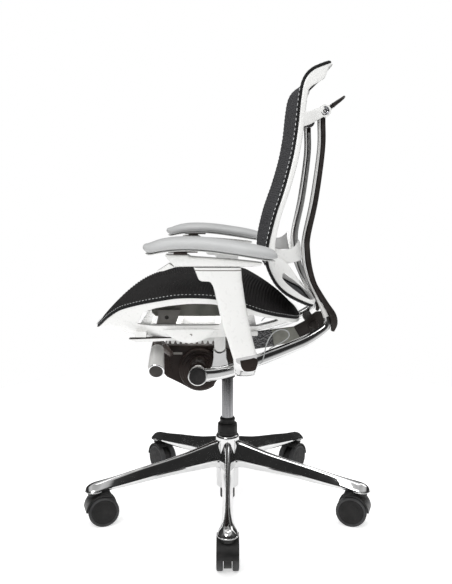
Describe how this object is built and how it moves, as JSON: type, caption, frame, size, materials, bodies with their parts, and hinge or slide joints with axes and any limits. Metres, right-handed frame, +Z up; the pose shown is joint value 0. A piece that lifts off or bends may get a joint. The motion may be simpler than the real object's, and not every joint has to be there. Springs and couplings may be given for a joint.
{
  "type": "swivel office chair",
  "caption": "Height-adjustable swivel chair with black mesh seat and back, white frames, polished metal supports and star base on twin-wheel casters, and a coat hanger bar.",
  "frame": {"origin": "on the floor under the gas column, the middle of the chair's footprint", "axes": "+Z up; the chair faces -Y; +X is the sitter's left side"},
  "size_m": [0.6716, 0.663, 1.0212],
  "materials": {
    "polished": "mirror-polished cast aluminium",
    "chrome": "bright chrome plating",
    "steel": "ground grey steel, lightly oiled",
    "white_shell": "satin gloss white moulding",
    "black_plastic": "black moulding with a fine grain",
    "dark_plastic": "dark grey moulding",
    "mesh_fabric": "black ribbed suspension mesh",
    "pad_skin": "soft grey moulded skin, fine leather grain",
    "caster_plastic": "black moulding",
    "wheel_tread": "dark hard rubber tread"
  },
  "bodies": {
    "base": {"base_star": "polished", "gas_tube": "black_plastic", "column_collar": "black_plastic", "thrust_bearing": "steel"},
    "piston": {"piston_rod": "steel", "retaining_clip": "steel"},
    "mechanism": {"gas_cylinder": "steel", "mech_housing": "black_plastic", "recline_spring": "steel"},
    "tension_handle": {"tension_handle": "chrome", "tension_handle_cap": "black_plastic"},
    "back": {"ankle_shaft": "steel", "back_support_left": "polished", "back_support_right": "polished", "upright_cover_left": "black_plastic", "upright_cover_right": "black_plastic", "ankle_cap_left": "black_plastic", "ankle_cap_right": "black_plastic", "top_pivot_left": "chrome", "top_pivot_right": "chrome", "back_crossbar": "black_plastic", "back_frame": "white_shell", "back_mesh": "mesh_fabric", "hanger": "black_plastic", "arm_post_left": "white_shell", "arm_post_right": "white_shell", "arm_cable_left": "dark_plastic", "arm_cable_right": "dark_plastic"},
    "seat_carrier": {"seat_carrier": "white_shell"},
    "seat": {"seat_frame": "white_shell", "seat_mesh": "mesh_fabric"},
    "depth_lever": {"depth_lever": "white_shell"},
    "arm_left": {"arm_cradle_left": "white_shell"},
    "arm_lever_left": {"arm_lever_left": "white_shell"},
    "pad_turntable_left": {"pad_slider_left": "dark_plastic"},
    "pad_left": {"arm_pad_base_left": "dark_plastic", "arm_pad_left": "pad_skin"},
    "arm_right": {"arm_cradle_right": "white_shell"},
    "arm_lever_right": {"arm_lever_right": "white_shell"},
    "pad_turntable_right": {"pad_slider_right": "dark_plastic"},
    "pad_right": {"arm_pad_base_right": "dark_plastic", "arm_pad_right": "pad_skin"},
    "caster_1": {"caster_hood_1": "caster_plastic"},
    "wheel_1_left": {"wheel_1_left": "wheel_tread"},
    "wheel_1_right": {"wheel_1_right": "wheel_tread"},
    "caster_2": {"caster_hood_2": "caster_plastic"},
    "wheel_2_left": {"wheel_2_left": "wheel_tread"},
    "wheel_2_right": {"wheel_2_right": "wheel_tread"},
    "caster_3": {"caster_hood_3": "caster_plastic"},
    "wheel_3_left": {"wheel_3_left": "wheel_tread"},
    "wheel_3_right": {"wheel_3_right": "wheel_tread"},
    "caster_4": {"caster_hood_4": "caster_plastic"},
    "wheel_4_left": {"wheel_4_left": "wheel_tread"},
    "wheel_4_right": {"wheel_4_right": "wheel_tread"},
    "caster_5": {"caster_hood_5": "caster_plastic"},
    "wheel_5_left": {"wheel_5_left": "wheel_tread"},
    "wheel_5_right": {"wheel_5_right": "wheel_tread"}
  },
  "joints": [
    {"name": "swivel", "type": "hinge", "parent": "base", "child": "piston", "pos_m": [0, 0, 0.03], "axis": [0, 0, 1], "continuous": true},
    {"name": "lift", "type": "slide", "parent": "piston", "child": "mechanism", "axis": [0, 0, 1], "range_m": [-0.09, 0]},
    {"name": "tension_turn", "type": "hinge", "parent": "mechanism", "child": "tension_handle", "pos_m": [0.046, -0.128, 0.393], "axis": [1, 0, 0], "range_deg": [0, 30]},
    {"name": "recline", "type": "hinge", "parent": "mechanism", "child": "back", "pos_m": [0, -0.063, 0.371], "axis": [-1, 0, 0], "range_deg": [0, 20], "stiffness_Nm_per_rad": 60, "springref_deg": -28.65},
    {"name": "seat_tilt", "type": "hinge", "parent": "mechanism", "child": "seat_carrier", "pos_m": [0, -0.1948, 0.2538], "axis": [-1, 0, 0], "range_deg": [0, 6]},
    {"name": "seat_depth", "type": "slide", "parent": "seat_carrier", "child": "seat", "axis": [0, -1, 0], "range_m": [0, 0.05]},
    {"name": "depth_lever_pull", "type": "hinge", "parent": "seat", "child": "depth_lever", "pos_m": [0.2225, -0.078, 0.4785], "axis": [0, -1, 0], "range_deg": [0, 15], "stiffness_Nm_per_rad": 0.3, "springref_deg": -14.32},
    {"name": "arm_height_left", "type": "slide", "parent": "back", "child": "arm_left", "axis": [0, -0.2311, 0.9729], "range_m": [0, 0.1]},
    {"name": "arm_lever_pull_left", "type": "hinge", "parent": "arm_left", "child": "arm_lever_left", "pos_m": [0.285, -0.1045, 0.6145], "axis": [-1, 0, 0], "range_deg": [0, 10], "stiffness_Nm_per_rad": 0.5, "springref_deg": -14.32},
    {"name": "pad_pivot_left", "type": "hinge", "parent": "arm_left", "child": "pad_turntable_left", "pos_m": [0.285, -0.091, 0.6378], "axis": [0, 0, 1], "range_deg": [-15, 15]},
    {"name": "pad_slide_left", "type": "slide", "parent": "pad_turntable_left", "child": "pad_left", "axis": [0, 1, 0], "range_m": [-0.015, 0.02]},
    {"name": "arm_height_right", "type": "slide", "parent": "back", "child": "arm_right", "axis": [0, -0.2311, 0.9729], "range_m": [0, 0.1]},
    {"name": "arm_lever_pull_right", "type": "hinge", "parent": "arm_right", "child": "arm_lever_right", "pos_m": [-0.285, -0.1045, 0.6145], "axis": [-1, 0, 0], "range_deg": [0, 10], "stiffness_Nm_per_rad": 0.5, "springref_deg": -14.32},
    {"name": "pad_pivot_right", "type": "hinge", "parent": "arm_right", "child": "pad_turntable_right", "pos_m": [-0.285, -0.091, 0.6378], "axis": [0, 0, 1], "range_deg": [-15, 15]},
    {"name": "pad_slide_right", "type": "slide", "parent": "pad_turntable_right", "child": "pad_right", "axis": [0, 1, 0], "range_m": [-0.015, 0.02]},
    {"name": "caster_swivel_1", "type": "hinge", "parent": "base", "child": "caster_1", "pos_m": [0.32, 0, 0.08], "axis": [0, 0, 1], "continuous": true},
    {"name": "wheel_spin_1_left", "type": "hinge", "parent": "caster_1", "child": "wheel_1_left", "pos_m": [0.301, 0, 0.03447], "axis": [0, 1, 0], "continuous": true},
    {"name": "wheel_spin_1_right", "type": "hinge", "parent": "caster_1", "child": "wheel_1_right", "pos_m": [0.301, 0, 0.03447], "axis": [0, 1, 0], "continuous": true},
    {"name": "caster_swivel_2", "type": "hinge", "parent": "base", "child": "caster_2", "pos_m": [0.09889, 0.30434, 0.08], "axis": [0, 0, 1], "continuous": true},
    {"name": "wheel_spin_2_left", "type": "hinge", "parent": "caster_2", "child": "wheel_2_left", "pos_m": [0.09301, 0.28627, 0.03447], "axis": [-0.9511, 0.309, 0], "continuous": true},
    {"name": "wheel_spin_2_right", "type": "hinge", "parent": "caster_2", "child": "wheel_2_right", "pos_m": [0.09301, 0.28627, 0.03447], "axis": [-0.9511, 0.309, 0], "continuous": true},
    {"name": "caster_swivel_3", "type": "hinge", "parent": "base", "child": "caster_3", "pos_m": [-0.25888, 0.18809, 0.08], "axis": [0, 0, 1], "continuous": true},
    {"name": "wheel_spin_3_left", "type": "hinge", "parent": "caster_3", "child": "wheel_3_left", "pos_m": [-0.24351, 0.17692, 0.03447], "axis": [-0.5878, -0.809, 0], "continuous": true},
    {"name": "wheel_spin_3_right", "type": "hinge", "parent": "caster_3", "child": "wheel_3_right", "pos_m": [-0.24351, 0.17692, 0.03447], "axis": [-0.5878, -0.809, 0], "continuous": true},
    {"name": "caster_swivel_4", "type": "hinge", "parent": "base", "child": "caster_4", "pos_m": [-0.25888, -0.18809, 0.08], "axis": [0, 0, 1], "continuous": true},
    {"name": "wheel_spin_4_left", "type": "hinge", "parent": "caster_4", "child": "wheel_4_left", "pos_m": [-0.24351, -0.17692, 0.03447], "axis": [0.5878, -0.809, 0], "continuous": true},
    {"name": "wheel_spin_4_right", "type": "hinge", "parent": "caster_4", "child": "wheel_4_right", "pos_m": [-0.24351, -0.17692, 0.03447], "axis": [0.5878, -0.809, 0], "continuous": true},
    {"name": "caster_swivel_5", "type": "hinge", "parent": "base", "child": "caster_5", "pos_m": [0.09889, -0.30434, 0.08], "axis": [0, 0, 1], "continuous": true},
    {"name": "wheel_spin_5_left", "type": "hinge", "parent": "caster_5", "child": "wheel_5_left", "pos_m": [0.09301, -0.28627, 0.03447], "axis": [0.9511, 0.309, 0], "continuous": true},
    {"name": "wheel_spin_5_right", "type": "hinge", "parent": "caster_5", "child": "wheel_5_right", "pos_m": [0.09301, -0.28627, 0.03447], "axis": [0.9511, 0.309, 0], "continuous": true}
  ],
  "couplings": [
    {"joint": "seat_tilt", "follows": "recline", "ratio": 0.3}
  ]
}
